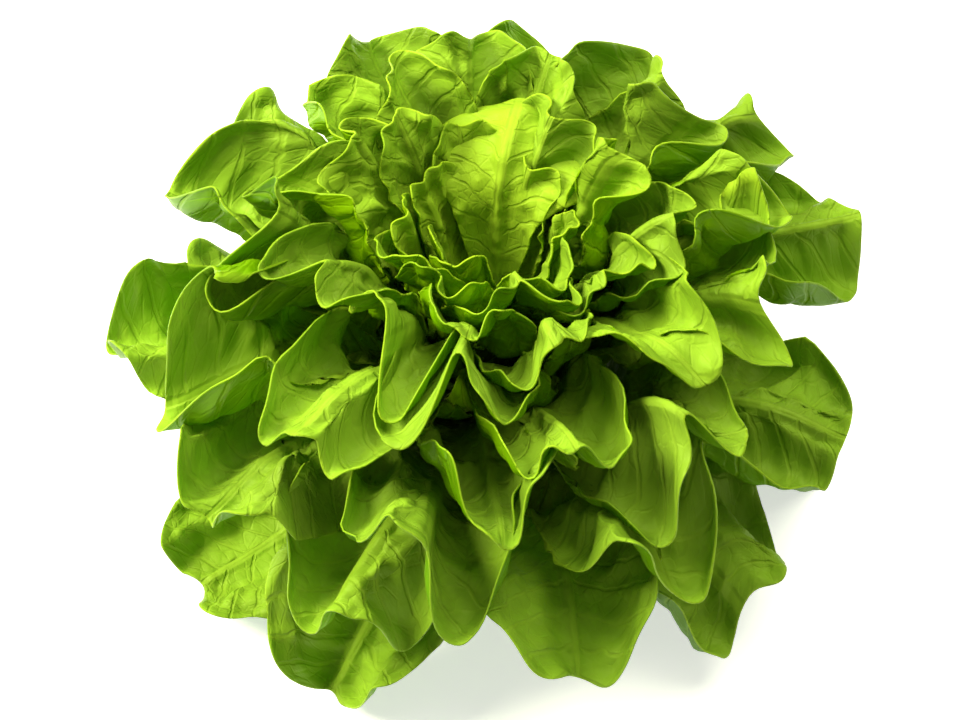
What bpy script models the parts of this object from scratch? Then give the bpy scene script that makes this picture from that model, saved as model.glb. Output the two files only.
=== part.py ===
"""Head of loose-leaf lettuce, as picked: one cut stem and the leaves that stand around it.

Frame: metres, +Z up. The origin is the centre of the flat cut under the stem, which rests
on the surface at z = 0. The front of the head is -Y.

Every leaf grows out of the rounded crown on top of the stem. The leaves stand like the jets
of a fountain: each leaves the crown near square to it, bends up to its own lean, and arches
outwards again near its tip. A fan of such curves, one for each lean, fills the head without
any two crossing. A point of a leaf is given by its lean (which curve of the fan), its
distance along that curve from the crown's centre, and its heading around +Z (0 is +X, 90 is
+Y). Leaves lie over each other in the order of their leans and press each other apart where
they would touch.
"""
from collections import namedtuple
import math

import bmesh
import bpy
import numpy as np
from mathutils import Vector

# ---- driving dimensions (metres, degrees) ----
CROWN_HEIGHT = 0.034            # centre of the crown above the cut
CROWN_RADIUS = 0.0205
CUT_RADIUS = 0.0150             # flat cut under the stem
CUT_BEVEL = 0.0015
NECK_RADIUS = 0.0145            # narrowest part of the stem, under the crown
NECK_HEIGHT = 0.0120
NECK_TURN = 12.0                # of the crown's profile, given to the curve into the neck
SEAT_GAP = 0.0003               # leaf foot to crown

LENGTH_SCALE = 1.0              # every leaf's length
WIDTH_SCALE = 1.0               # every leaf's width
BLADE_THICKNESS = 0.0010
RIB_THICKNESS = 0.0020          # at a large leaf's foot, fading towards the tip
LEAF_CLEARANCE = 0.0036         # between neighbouring blades, out where they are wide
FOOT_CLEARANCE = 0.0005         # between neighbouring ribs, at the crown
OPENING_START = 0.030           # distance where ribs begin to widen into blades
OPENING_LENGTH = 0.050
FOOT_RESERVE = 0.0024           # width beside a rib over which its neighbours close in
LEAF_RESERVE = 0.0120           # and beside a blade
SURFACE_CLEARANCE = 0.0001      # lowest leaves to the surface
LYING_SHARE = 0.6               # of its thickness that a lying leaf keeps under its middle

FOOT_HALF_WIDTH = 0.0038        # of a large leaf, where it leaves the crown
FOOT_SHARE = 0.25               # of a small leaf's half width, where it leaves the crown
FIRST_FOOT_LEAN = 10.0          # lean of a foot at the middle of the crown
LAST_FOOT_LEAN = 118.0          # and of the lowest one
LAST_LEAN = 106.0               # lean of the leaf that has the lowest foot
BEND_LENGTH = 0.048             # over which a leaf turns from its foot's lean to its own
ARCH_ANGLE = 20.0               # most that a tip arches outwards
ARCH_START = (0.052, 0.092)     # where arching starts, in the heart and at the skirt
ARCH_LENGTH = 0.060
ARCH_END = 114.0                # lean past which a leaf no longer arches
WIDEST_SHARE = 0.85             # of its length, where a leaf is widest
RIB_SHARE = 0.45                # of its half width over which the rib thickens a leaf
WAVE_SHARE = (0.30, 0.60)       # of its length, where its waves begin and how far they build up
OPEN_SHARE = 0.7                # of its length over which a leaf's cup and twist build up
FLARE_START = 0.5               # of its length, where a tip begins to flare
FLARE_POWER = 1.5
BEYOND_SIDE = 1.3               # how far past its margin a leaf's surface is carried on
WRAP_LIMIT = 100.0              # how far a leaf may reach around the head, to each side
TIP_ROUNDING = 1.00             # depth of the rounded tip, in half widths
TIP_POWER = 2.2                 # 2 is an ellipse, more is a broader tip
TIP_FULLNESS = 0.985            # share of the rounding where the tip meets the side
NOTCH_WIDTH = 0.22              # of the dip in a two-lobed tip, in half widths
WAVES_ACROSS = 1.5              # waves of the margin from one side of a leaf to the other
SWAY = 9.0                      # how far a foot may sit to one side of its leaf's heading
HEAD_LEAN = 0.15                # how far the head leans back, for each metre of height
DEPTH_SCALE = 0.92              # front to back against side to side

# ---- how finely the shapes are worked out ----
LENGTH_STEPS = 7                # faces along a leaf
WIDTH_STEPS = 6                 # faces across a leaf
HEART_WIDTH_STEPS = 8           # faces across a leaf that wraps far around the heart
STEM_SIDES = 32
DOME_RINGS = 7
FAN_LEANS = np.radians(np.arange(0.0, 131.0, 2.5))
FAN_DISTANCES = np.arange(0.0, 0.2001, 0.002)
HEADINGS = np.radians(np.arange(0.0, 360.0, 4.0))
PRESS_ROUNDS = 140
LAST_ROOM_SHARE = 0.5           # of the clearances that the last pass must keep
BLADE_STIFFNESS = 0.35          # how much of a bend is smoothed away each round
PUSH_SHARE = 0.20               # how much of what it lacks a leaf moves in one round
PUSH_LIMIT = 0.12               # radians that one round may push a leaf
LEAST_PRESENCE = 0.02           # beside its margin, below which a leaf takes no room
LEAST_LEAN = math.radians(1.5)
LEAST_SPREAD = 0.004            # metres for each radian of lean
FADE_START = 0.25               # share of the reserve beside a margin that is kept whole

# One leaf as it grew. Angles in degrees, sizes in millimetres.
#   heading  way it points            lean   which curve of the fan it follows
#   reach    length from the crown's centre            half   half its width
#   notch    depth of the dip in its tip, less than 0 for a pointed tip
#   flare    extra lean at its tip                     twist  extra lean of its left edge
#   cup      extra lean of both edges                  wave   swing of its margins
#   phase    where along the margin the wave starts
Leaf = namedtuple("Leaf", "name heading lean reach half notch flare twist cup wave phase")

HEART = (
    Leaf("heart_leaf_01", 78, 7, 116, 18, -6, -2, 0, 2, 0, 0),
    Leaf("heart_leaf_02", 195, 11, 88, 15, 0, 1, -3, 0, 2, 200),
    Leaf("heart_leaf_03", 145, 13, 98, 19, 4, 1, -3, -2, 2, 300),
    Leaf("heart_leaf_04", 240, 14, 94, 18, 2, 1, 2, -2, 2, 150),
    Leaf("heart_leaf_05", 55, 15, 96, 18, 2, 1, 0, 2, 2, 240),
    Leaf("heart_leaf_06", 180, 16, 98, 19, 2, 1, 2, 0, 3, 330),
    Leaf("heart_leaf_07", 345, 17, 98, 20, 2, 1, -2, -2, 2, 100),
    Leaf("heart_leaf_08", 105, 17, 104, 19, 3, 0, 0, -2, 2, 20),
)
INNER = (
    Leaf("inner_leaf_01", 214, 19, 104, 22, 0, 1, -3, -9, 2, 200),
    Leaf("inner_leaf_02", 310, 19, 104, 21, 2, 2, 3, -9, 3, 60),
    Leaf("inner_leaf_03", 138, 21, 116, 20, 0, 0, -2, -3, 2, 140),
    Leaf("inner_leaf_04", 55, 21, 113, 24, 3, 0, 3, -3, 4, 270),
    Leaf("inner_leaf_05", 242, 22, 108, 22, 5, 2, 3, -6, 4, 30),
    Leaf("inner_leaf_06", 12, 23, 119, 25, 0, 1, -3, -9, 3, 180),
    Leaf("inner_leaf_07", 284, 23, 116, 29, 4, 3, 0, -13, 2, 330),
    Leaf("inner_leaf_08", 157, 24, 120, 22, 0, 0, 5, -6, 4, 210),
    Leaf("inner_leaf_09", 322, 26, 118, 26, 5, 2, 3, -9, 3, 250),
    Leaf("inner_leaf_10", 120, 27, 124, 24, 2, 0, -5, -3, 4, 150),
    Leaf("inner_leaf_11", 172, 28, 123, 24, 0, 0, 3, -8, 4, 10),
)
MIDDLE = (
    Leaf("middle_leaf_01", 346, 29, 126, 27, 2, 2, -4, -12, 3, 300),
    Leaf("middle_leaf_02", 264, 29, 120, 27, 0, 2, 4, -8, 4, 130),
    Leaf("middle_leaf_03", 72, 30, 123, 24, 3, 0, -4, -4, 4, 60),
    Leaf("middle_leaf_04", 210, 30, 130, 27, 9, 2, 0, -10, 2, 220),
    Leaf("middle_leaf_05", 240, 32, 122, 26, 2, 2, 6, -4, 4, 0),
    Leaf("middle_leaf_06", 30, 32, 130, 27, 3, 0, -4, -10, 4, 170),
    Leaf("middle_leaf_07", 288, 33, 124, 25, 0, 2, 3, -12, 3, 280),
    Leaf("middle_leaf_08", 142, 34, 128, 25, 6, 0, -6, -4, 4, 110),
    Leaf("middle_leaf_09", 190, 34, 134, 28, 7, 2, 4, -10, 4, 340),
    Leaf("middle_leaf_10", 95, 35, 127, 27, 4, 1, -4, -4, 4, 200),
    Leaf("middle_leaf_11", 316, 36, 134, 32, 5, 4, 0, -12, 4, 50),
    Leaf("middle_leaf_12", 262, 37, 132, 30, 6, 3, -4, -10, 4, 240),
    Leaf("middle_leaf_13", 0, 38, 138, 28, 2, 1, 4, -8, 4, 130),
    Leaf("middle_leaf_14", 52, 39, 134, 27, 6, 0, -4, -4, 4, 20),
    Leaf("middle_leaf_15", 286, 40, 136, 26, 0, 3, 4, -16, 3, 300),
    Leaf("middle_leaf_16", 338, 41, 138, 29, 6, 2, -4, -10, 4, 190),
    Leaf("middle_leaf_17", 168, 42, 141, 29, 3, 0, 4, -4, 4, 70),
)
OUTER = (
    Leaf("outer_leaf_01", 235, 44, 138, 28, 0, 2, 4, -10, 4, 260),
    Leaf("outer_leaf_02", 115, 46, 135, 30, 3, 1, -4, -4, 4, 150),
    Leaf("outer_leaf_03", 272, 47, 137, 28, 0, 2, 4, -9, 4, 120),
    Leaf("outer_leaf_04", 205, 48, 142, 29, 7, 2, 4, -10, 4, 30),
    Leaf("outer_leaf_05", 308, 50, 142, 30, 8, 3, -4, -10, 4, 310),
    Leaf("outer_leaf_06", 30, 52, 141, 31, 3, 0, 4, -4, 4, 200),
    Leaf("outer_leaf_07", 78, 54, 135, 31, 8, 1, -4, -4, 4, 90),
    Leaf("outer_leaf_08", 260, 56, 146, 31, 2, 2, 4, -10, 4, 340),
    Leaf("outer_leaf_09", 10, 58, 145, 31, -6, 1, -4, -8, 4, 230),
    Leaf("outer_leaf_10", 224, 60, 148, 31, 8, 2, 4, -4, 4, 120),
    Leaf("outer_leaf_11", 298, 61, 143, 31, 6, 1, -4, -7, 4, 20),
    Leaf("outer_leaf_12", 142, 63, 139, 31, 2, 0, -4, -4, 4, 10),
    Leaf("outer_leaf_13", 335, 66, 146, 33, 2, 1, 4, -10, 4, 260),
    Leaf("outer_leaf_14", 247, 66, 142, 31, 0, 3, 4, -6, 4, 200),
    Leaf("outer_leaf_15", 185, 69, 148, 31, 8, 1, -4, -8, 4, 150),
    Leaf("outer_leaf_16", 283, 72, 148, 35, 10, 3, 0, -10, 2, 40),
)
SKIRT = (
    Leaf("skirt_leaf_01", 45, 76, 140, 34, 3, 2, 3, -2, 4, 290),
    Leaf("skirt_leaf_02", 312, 81, 146, 34, 8, 3, -3, -4, 4, 180),
    Leaf("skirt_leaf_03", 245, 87, 146, 34, 7, 4, 3, -4, 4, 70),
    Leaf("skirt_leaf_04", 110, 92, 137, 36, 8, 4, -3, -2, 4, 320),
    Leaf("skirt_leaf_05", 356, 97, 146, 36, 7, 4, 3, -4, 4, 210),
    Leaf("skirt_leaf_06", 215, 101, 146, 36, 8, 4, -3, -2, 4, 100),
    Leaf("skirt_leaf_07", 155, 105, 141, 36, 3, 4, 3, -2, 4, 350),
)
LEAVES = HEART + INNER + MIDDLE + OUTER + SKIRT

# colour (linear red, green, blue) and roughness of each kind of leaf, heart to skirt
LEAF_FINISH = {
    "heart": ((0.090, 0.300, 0.010), 0.46),
    "inner": ((0.110, 0.330, 0.010), 0.44),
    "middle": ((0.085, 0.270, 0.008), 0.42),
    "outer": ((0.070, 0.230, 0.008), 0.42),
    "skirt": ((0.060, 0.200, 0.010), 0.45),
}
STEM_FINISH = ((0.560, 0.640, 0.300), 0.50)

MM = 0.001
FOOT_DISTANCE = CROWN_RADIUS + SEAT_GAP


def clear_scene():
    for obj in list(bpy.data.objects):
        bpy.data.objects.remove(obj, do_unlink=True)


def make_material(name, finish):
    colour, roughness = finish
    material = bpy.data.materials.new(name)
    material.use_nodes = True
    shader = material.node_tree.nodes["Principled BSDF"]
    shader.inputs["Base Color"].default_value = (*colour, 1.0)
    shader.inputs["Roughness"].default_value = roughness
    shader.inputs["Metallic"].default_value = 0.0
    return material


def add_object(name, bm, finish):
    mesh = bpy.data.meshes.new(name)
    bm.to_mesh(mesh)
    bm.free()
    mesh.shade_smooth()
    mesh.set_sharp_from_angle(angle=math.radians(50))
    mesh.materials.append(make_material(name, finish))
    obj = bpy.data.objects.new(name, mesh)
    bpy.context.scene.collection.objects.link(obj)
    return obj


def smooth_step(x):
    x = np.clip(x, 0.0, 1.0)
    return x * x * (3.0 - 2.0 * x)


def read_grid(grid, row, column):
    """Value of a grid between its points; row and column may be arrays."""
    row = np.clip(row, 0.0, grid.shape[0] - 1.001)
    column = np.clip(column, 0.0, grid.shape[1] - 1.001)
    low_row = np.floor(row).astype(int)
    low_column = np.floor(column).astype(int)
    part_row = row - low_row
    part_column = column - low_column
    near = grid[low_row, low_column] * (1 - part_column) + grid[low_row, low_column + 1] * part_column
    far = grid[low_row + 1, low_column] * (1 - part_column) + grid[low_row + 1, low_column + 1] * part_column
    return near * (1 - part_row) + far * part_row


class Fan:
    """The fountain of curves that the leaves follow: radius and height by lean and distance."""

    def __init__(self):
        lean = FAN_LEANS[:, None]
        distance = FAN_DISTANCES[None, :]
        foot_slope = (LAST_FOOT_LEAN - FIRST_FOOT_LEAN) / LAST_LEAN
        foot = math.radians(FIRST_FOOT_LEAN) + foot_slope * lean
        bend = smooth_step((distance - FOOT_DISTANCE) / BEND_LENGTH)
        share = np.clip(lean / math.radians(ARCH_END), 0.0, 1.0)
        arch_start = ARCH_START[0] + (ARCH_START[1] - ARCH_START[0]) * share
        arch = math.radians(ARCH_ANGLE) * np.sin(math.pi * share)
        turn = foot + (lean - foot) * bend + arch * smooth_step((distance - arch_start) / ARCH_LENGTH)
        step = FAN_DISTANCES[1] - FAN_DISTANCES[0]
        middle = 0.5 * (turn[:, 1:] + turn[:, :-1])
        start = np.zeros((len(FAN_LEANS), 1))
        self.radius = np.hstack([start, np.cumsum(np.sin(middle) * step, axis=1)])
        self.height = np.hstack([start, np.cumsum(np.cos(middle) * step, axis=1)])
        radius_change = np.gradient(self.radius, FAN_LEANS, axis=0)
        height_change = np.gradient(self.height, FAN_LEANS, axis=0)
        self.spread = radius_change * np.cos(turn) - height_change * np.sin(turn)
        self.spread = np.maximum(self.spread, LEAST_SPREAD)

    def read(self, grid, lean, distance):
        row = lean / (FAN_LEANS[1] - FAN_LEANS[0])
        column = distance / (FAN_DISTANCES[1] - FAN_DISTANCES[0])
        return read_grid(grid, row, column)

    def lowest_lean(self, distances):
        """Largest lean at each distance that keeps a blade clear of the surface."""
        lowest = SURFACE_CLEARANCE + LYING_SHARE * BLADE_THICKNESS - CROWN_HEIGHT
        found = []
        for distance in distances:
            height = self.read(self.height, FAN_LEANS, np.full_like(FAN_LEANS, distance))
            last = np.flatnonzero(height > lowest)[-1]
            nearby = slice(last, min(last + 2, len(FAN_LEANS)))
            found.append(np.interp(-lowest, -height[nearby], FAN_LEANS[nearby]))
        return np.array(found)


def leaf_reach(leaf):
    return leaf.reach * MM * LENGTH_SCALE


def leaf_half(leaf):
    return leaf.half * MM * WIDTH_SCALE


def share_along(leaf, distance):
    return (distance - FOOT_DISTANCE) / (leaf_reach(leaf) - FOOT_DISTANCE)


def middle_heading(leaf, along):
    """Heading of the leaf's middle line; its foot may sit to one side."""
    sway = math.radians(SWAY) * math.sin(math.radians(2.0 * leaf.phase))
    return math.radians(leaf.heading) + sway * (1.0 - smooth_step(along))


def half_wrap(leaf, fan, distance):
    """How far a leaf reaches around the head on each side of its middle line, in radians."""
    half = leaf_half(leaf)
    foot = min(FOOT_HALF_WIDTH * WIDTH_SCALE, FOOT_SHARE * half)
    width = foot + (half - foot) * smooth_step(share_along(leaf, distance) / WIDEST_SHARE)
    radius = fan.read(fan.radius, np.full_like(distance, math.radians(leaf.lean)), distance)
    limit = math.radians(WRAP_LIMIT)
    return limit * np.tanh(width / (radius * limit))


def natural_lean(leaf, along, across):
    """Lean of a leaf's surface as it would be with no neighbours. across is -1 to 1."""
    side = np.clip(across, -BEYOND_SIDE, BEYOND_SIDE)
    phase = math.radians(leaf.phase)
    opened = smooth_step(along / OPEN_SHARE)
    flare = leaf.flare * np.clip((along - FLARE_START) / (1.0 - FLARE_START), 0.0, BEYOND_SIDE) ** FLARE_POWER
    shape = (leaf.twist * side + leaf.cup * side ** 2) * opened
    built_up = smooth_step((along - WAVE_SHARE[0]) / WAVE_SHARE[1])
    wave = leaf.wave * np.sin(WAVES_ACROSS * math.pi * side + phase) * built_up
    return math.radians(leaf.lean) + np.radians(flare + shape + wave)


def tip_distance(leaf, across):
    """How far out the leaf's end lies at each place across it: rounded, dipped or pointed."""
    side = np.clip(np.abs(across), 0.0, 1.0)
    fall = 1.0 - (1.0 - TIP_FULLNESS * side ** TIP_POWER) ** (1.0 / TIP_POWER)
    rounding = TIP_ROUNDING * leaf_half(leaf) * fall
    dip = leaf.notch * MM * np.exp(-(across / NOTCH_WIDTH) ** 2)
    return leaf_reach(leaf) - rounding - dip


def thickness(leaf, along, across):
    rib = RIB_THICKNESS * min(1.0, leaf_half(leaf) / 0.028) - BLADE_THICKNESS
    return BLADE_THICKNESS + rib * np.clip(1.0 - along, 0.0, 1.0) ** 1.3 * np.exp(-(across / RIB_SHARE) ** 2)


def width_steps(leaf):
    return HEART_WIDTH_STEPS if leaf.name.startswith("heart") else WIDTH_STEPS


def wrap_angle(angle):
    return (angle + math.pi) % (2.0 * math.pi) - math.pi


class PressedLeaves:
    """Every leaf's lean on one shared grid of distance and heading, pressed clear of each other."""

    def __init__(self, fan):
        longest = max(leaf_reach(leaf) for leaf in LEAVES) + 0.010
        self.distances = np.arange(0.018, longest, 0.005)
        distance = np.broadcast_to(self.distances[:, None], (len(self.distances), len(HEADINGS)))
        opened = smooth_step((distance - OPENING_START) / OPENING_LENGTH)
        reserve = FOOT_RESERVE + (LEAF_RESERVE - FOOT_RESERVE) * opened
        shape = (len(LEAVES),) + distance.shape
        self.natural = np.zeros(shape)
        presence = np.zeros(shape)
        depth = np.zeros(shape)
        spread = np.zeros(shape)
        for rank, leaf in enumerate(LEAVES):
            along = share_along(leaf, distance)
            away = wrap_angle(HEADINGS[None, :] - middle_heading(leaf, along))
            wrap = half_wrap(leaf, fan, distance)
            across = away / wrap
            self.natural[rank] = natural_lean(leaf, along, across)
            radius = fan.read(fan.radius, np.full_like(distance, math.radians(leaf.lean)), distance)
            beside = (np.abs(away) - wrap) * radius
            outside = np.maximum(beside, distance - tip_distance(leaf, across))
            presence[rank] = 1.0 - smooth_step((outside - FADE_START * reserve) / reserve)
            facet_depth = radius * (wrap / width_steps(leaf)) ** 2
            depth[rank] = thickness(leaf, along, across) + facet_depth
            spread[rank] = fan.read(fan.spread, np.clip(self.natural[rank], 0.0, None), distance)
        room = FOOT_CLEARANCE + (LEAF_CLEARANCE - FOOT_CLEARANCE) * opened
        floor = fan.lowest_lean(self.distances)[:, None]
        self.leans = self.natural.copy()
        for _ in range(PRESS_ROUNDS):
            self.press_once(presence, depth, spread, room)
            self.leans -= np.clip(self.leans - floor, 0.0, None)
            self.leans = np.maximum(self.leans, LEAST_LEAN)
        self.press_outwards(presence, depth, spread, LAST_ROOM_SHARE * room)
        self.change = self.leans - self.natural

    def press_once(self, presence, depth, spread, room):
        """Move each touching pair of leaves a part of what they lack, half each way."""
        push = np.zeros_like(self.leans)
        for inner in range(len(LEAVES) - 1):
            outer = slice(inner + 1, len(LEAVES))
            gap = (0.5 * (depth[inner] + depth[outer]) + room) / (0.5 * (spread[inner] + spread[outer]))
            lack = gap * presence[inner] * presence[outer] - (self.leans[outer] - self.leans[inner])
            lack = np.maximum(lack, 0.0) * (presence[inner] * presence[outer] > 0.0)
            push[outer] += lack
            push[inner] -= lack.sum(axis=0)
        self.leans += PUSH_SHARE * np.clip(push, -PUSH_LIMIT, PUSH_LIMIT)
        change = self.leans - self.natural
        around = 0.5 * (np.roll(change, 1, axis=2) + np.roll(change, -1, axis=2))
        beyond = np.concatenate([change[:, 1:], change[:, -1:]], axis=1)
        before = np.concatenate([change[:, :1], change[:, :-1]], axis=1)
        self.leans += BLADE_STIFFNESS * (0.5 * around + 0.25 * (beyond + before) - change)

    def press_outwards(self, presence, depth, spread, room):
        """Last pass, from the heart outwards: every pair is left at least this room apart."""
        for outer in range(1, len(LEAVES)):
            inner = slice(0, outer)
            gap = (0.5 * (depth[inner] + depth[outer]) + room) / spread[inner]
            solid = (presence[inner] > LEAST_PRESENCE) & (presence[outer] > LEAST_PRESENCE)
            least = np.where(solid, self.leans[inner] + gap, -10.0).max(axis=0)
            self.leans[outer] = np.maximum(self.leans[outer], least)

    def pressed_change(self, rank, distance, heading):
        """How far the neighbours have pushed one leaf, in radians of lean."""
        grid = np.hstack([self.change[rank], self.change[rank][:, :1], self.change[rank][:, 1:2]])
        row = (distance - self.distances[0]) / (self.distances[1] - self.distances[0])
        column = (heading % (2.0 * math.pi)) / (HEADINGS[1] - HEADINGS[0])
        return read_grid(grid, row, column)


def place_in_head(x, y, height):
    """A point of a straight round head, moved to where this wider, slightly leaning one has it."""
    back = HEAD_LEAN * height * smooth_step(height / CROWN_HEIGHT - 0.5)
    return np.stack([x, DEPTH_SCALE * y + back, height], axis=-1)


def leaf_sheet(leaf, rank, fan, pressed):
    """Points of the leaf's middle sheet, with its thickness at each: foot to tip, side to side."""
    along_steps = np.linspace(0.0, 1.0, LENGTH_STEPS + 1) ** 0.85
    across_steps = np.linspace(-1.0, 1.0, width_steps(leaf) + 1)
    share, across = np.meshgrid(along_steps, across_steps, indexing="ij")
    distance = FOOT_DISTANCE + share * (tip_distance(leaf, across) - FOOT_DISTANCE)
    along = share_along(leaf, distance)
    heading = middle_heading(leaf, along) + across * half_wrap(leaf, fan, distance)
    lean = natural_lean(leaf, along, across) + pressed.pressed_change(rank, distance, heading)
    radius = fan.read(fan.radius, lean, distance)
    height = CROWN_HEIGHT + fan.read(fan.height, lean, distance)
    points = place_in_head(radius * np.cos(heading), radius * np.sin(heading), height)
    return points, thickness(leaf, along, across)


def sheet_normals(points):
    along = np.gradient(points, axis=0)
    across = np.gradient(points, axis=1)
    normals = np.cross(across, along)
    return normals / np.linalg.norm(normals, axis=-1, keepdims=True)


def make_leaf(leaf, rank, fan, pressed):
    points, depth = leaf_sheet(leaf, rank, fan, pressed)
    offset = sheet_normals(points) * depth[..., None] / 2.0
    bm = bmesh.new()
    sides = []
    for surface in (points + offset, points - offset):
        surface[..., 2] = np.maximum(surface[..., 2], SURFACE_CLEARANCE)
        sides.append([[bm.verts.new(Vector(point)) for point in row] for row in surface])
    upper, lower = sides
    rows = len(upper)
    columns = len(upper[0])
    for i in range(rows - 1):
        for j in range(columns - 1):
            bm.faces.new((upper[i][j], upper[i][j + 1], upper[i + 1][j + 1], upper[i + 1][j]))
            bm.faces.new((lower[i][j], lower[i + 1][j], lower[i + 1][j + 1], lower[i][j + 1]))
    rim = [(0, j) for j in range(columns - 1)]
    rim += [(i, columns - 1) for i in range(rows - 1)]
    rim += [(rows - 1, j) for j in range(columns - 1, 0, -1)]
    rim += [(i, 0) for i in range(rows - 1, 0, -1)]
    for (i, j), (k, m) in zip(rim, rim[1:] + rim[:1]):
        bm.faces.new((upper[k][m], upper[i][j], lower[i][j], lower[k][m]))
    bmesh.ops.recalc_face_normals(bm, faces=bm.faces)
    bmesh.ops.triangulate(bm, faces=bm.faces)
    kind = leaf.name.split("_")[0]
    return add_object(leaf.name, bm, LEAF_FINISH[kind])


def stem_profile():
    """Radius and height of the stem's outline, from the cut up to the top of the crown."""
    outline = [(CUT_RADIUS - CUT_BEVEL, 0.0), (CUT_RADIUS, CUT_BEVEL), (NECK_RADIUS, NECK_HEIGHT)]
    lowest = math.pi - math.asin(NECK_RADIUS / CROWN_RADIUS)
    first = lowest - math.radians(NECK_TURN)
    for ring in range(DOME_RINGS):
        lean = first * (1.0 - ring / DOME_RINGS)
        radius = CROWN_RADIUS * math.sin(lean)
        outline.append((radius, CROWN_HEIGHT + CROWN_RADIUS * math.cos(lean)))
    return outline


def make_stem():
    bm = bmesh.new()
    rings = []
    for radius, height in stem_profile():
        ring = []
        for side in range(STEM_SIDES):
            turn = 2.0 * math.pi * side / STEM_SIDES
            point = place_in_head(radius * math.cos(turn), radius * math.sin(turn), height)
            ring.append(bm.verts.new(point))
        rings.append(ring)
    for lower, upper in zip(rings, rings[1:]):
        for side in range(STEM_SIDES):
            after = (side + 1) % STEM_SIDES
            bm.faces.new((lower[side], lower[after], upper[after], upper[side]))
    bm.faces.new(list(reversed(rings[0])))
    crown_top = CROWN_HEIGHT + CROWN_RADIUS
    top = bm.verts.new(place_in_head(0.0, 0.0, crown_top))
    for side in range(STEM_SIDES):
        bm.faces.new((rings[-1][side], rings[-1][(side + 1) % STEM_SIDES], top))
    bmesh.ops.recalc_face_normals(bm, faces=bm.faces)
    return add_object("stem", bm, STEM_FINISH)


def main():
    clear_scene()
    make_stem()
    fan = Fan()
    pressed = PressedLeaves(fan)
    for rank, leaf in enumerate(LEAVES):
        make_leaf(leaf, rank, fan, pressed)


main()
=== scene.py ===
"""Looks of a head of loose-leaf lettuce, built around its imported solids.

Frame: metres, +Z up, the cut under the stem at z = 0, the front of the head is -Y.

Every CAD leaf is a plain blade. Here each one is replaced by a thin leaf that grows the same
way: along the same fountain of curves, with the same heading, lean and length, but with the
waves, cups, folds, blisters and veins of a real leaf. A point of a leaf is given by its lean
(which curve of the fountain), its distance along that curve from the crown's centre, and its
heading around +Z. The smooth leaves are pressed apart on a shared grid; the folds and the relief
are added afterwards, so some finished leaves still cross.
"""

from collections import namedtuple
import math

import bpy
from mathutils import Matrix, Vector
import numpy as np


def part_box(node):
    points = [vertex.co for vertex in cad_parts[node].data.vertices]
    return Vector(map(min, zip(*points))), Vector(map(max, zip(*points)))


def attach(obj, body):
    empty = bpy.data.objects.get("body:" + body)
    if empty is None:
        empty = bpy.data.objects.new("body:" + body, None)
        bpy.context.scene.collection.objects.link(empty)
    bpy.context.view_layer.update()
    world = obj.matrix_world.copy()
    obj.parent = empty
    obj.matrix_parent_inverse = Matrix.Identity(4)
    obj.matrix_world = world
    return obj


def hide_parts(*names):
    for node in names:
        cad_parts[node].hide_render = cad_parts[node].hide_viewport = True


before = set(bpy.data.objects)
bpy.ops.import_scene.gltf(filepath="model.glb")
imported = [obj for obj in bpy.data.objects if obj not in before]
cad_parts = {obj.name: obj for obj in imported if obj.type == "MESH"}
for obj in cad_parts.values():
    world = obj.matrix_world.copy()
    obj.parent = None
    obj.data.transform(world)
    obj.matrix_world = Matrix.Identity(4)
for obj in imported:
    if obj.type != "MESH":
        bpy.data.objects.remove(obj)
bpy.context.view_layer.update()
STEM_LOW, STEM_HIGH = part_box("stem")

# ---- the crown, from the CAD stem ----
CROWN_RADIUS = 0.5 * (STEM_HIGH.x - STEM_LOW.x)
CROWN_HEIGHT = STEM_HIGH.z - CROWN_RADIUS
SEAT_GAP = 0.0003               # leaf foot to crown
FOOT_DISTANCE = CROWN_RADIUS + SEAT_GAP

# ---- how the leaves grow (metres, degrees) ----
BLADE_THICKNESS = 0.00055
RIB_THICKNESS = 0.0024          # of a large leaf, at its foot
RIB_LEAF_HALF = 28.0            # half width in mm from which a leaf has the full rib
RIB_SHARE = 0.12                # of its half width over which the rib thickens a leaf
RIB_FADE = 1.3                  # how fast the rib thins towards the tip
LEAF_CLEARANCE = 0.0030
FOOT_CLEARANCE = 0.0005
FOOT_RESERVE = 0.0024
LEAF_RESERVE = 0.0100
OPENING_START = 0.03            # distance where ribs begin to widen into blades
OPENING_LENGTH = 0.05
FOOT_HALF_WIDTH = 0.0038
FOOT_SHARE = 0.25
FIRST_FOOT_LEAN = 10.0
LAST_FOOT_LEAN = 118.0
LAST_LEAN = 106.0
BEND_LENGTH = 0.048
ARCH_ANGLE = 20.0
ARCH_START = (0.052, 0.092)
ARCH_LENGTH = 0.060
ARCH_END = 114.0                # lean past which a leaf no longer arches
UPPER_WIDEST = 0.72             # share of its length where a leaf becomes its full width
LOW_WIDEST = 0.42               # and where a low leaf does
LOW_LEAN = 36.0
WRAP_LIMIT = 100.0
TIP_ROUNDING = 1.00
TIP_POWER = 2.2                 # 2 is an ellipse, more is broader
TIP_FULLNESS = 0.985
NOTCH_WIDTH = 0.22              # of the dip in a two-lobed tip, in half widths
LARGE_HALF = 26.0               # half width in mm of a leaf with full scallops
OPEN_SHARE = 0.7                # of its length over which a leaf's cup and twist build up
FLARE_START = 0.5               # of its length, where a tip begins to flare
FLARE_POWER = 1.5
BEYOND_SIDE = 1.3               # how far past its margin a leaf's surface is carried on
SWAY = 9.0
HEAD_LEAN = 0.15                # how far the head leans back for its height
DEPTH_SCALE = 0.92              # front to back against side to side

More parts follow.
